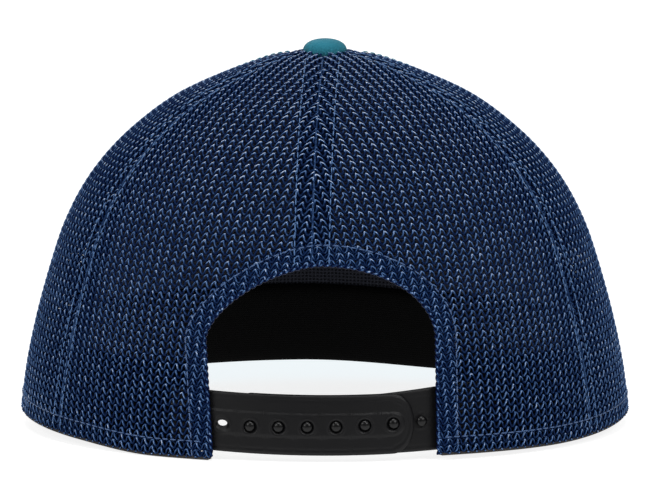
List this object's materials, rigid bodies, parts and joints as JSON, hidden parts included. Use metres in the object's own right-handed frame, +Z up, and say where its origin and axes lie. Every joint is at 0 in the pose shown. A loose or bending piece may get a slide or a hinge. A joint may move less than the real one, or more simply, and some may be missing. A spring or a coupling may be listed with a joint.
{
  "type": "trucker cap",
  "caption": "Trucker cap with knitted mesh back, stiff front panels, flat visor, covered button and a plastic snap strap across an arched rear opening.",
  "frame": {"origin": "on the surface the cap rests on, under the middle of the cap's outline", "axes": "+Z up, -Y the way the visor points, +X the wearer's left"},
  "size_m": [0.2112, 0.2314, 0.1333],
  "materials": {
    "mesh": "navy polyester warp-knit mesh with paler blue highlights on its yarns",
    "front_cloth": "teal woven polyester",
    "lining": "black open-woven stiffening cloth",
    "sweatband": "black twill",
    "strap": "satin black moulded plastic"
  },
  "bodies": {
    "root": {"back_mesh_right": "mesh", "side_mesh_right": "mesh", "front_panel_right": "front_cloth", "front_panel_left": "front_cloth", "side_mesh_left": "mesh", "back_mesh_left": "mesh", "front_lining": "lining", "sweatband": "sweatband", "opening_hem": "mesh", "strap_with_holes": "strap", "strap_with_pegs": "strap", "visor": "front_cloth", "top_button": "front_cloth"}
  },
  "joints": []
}
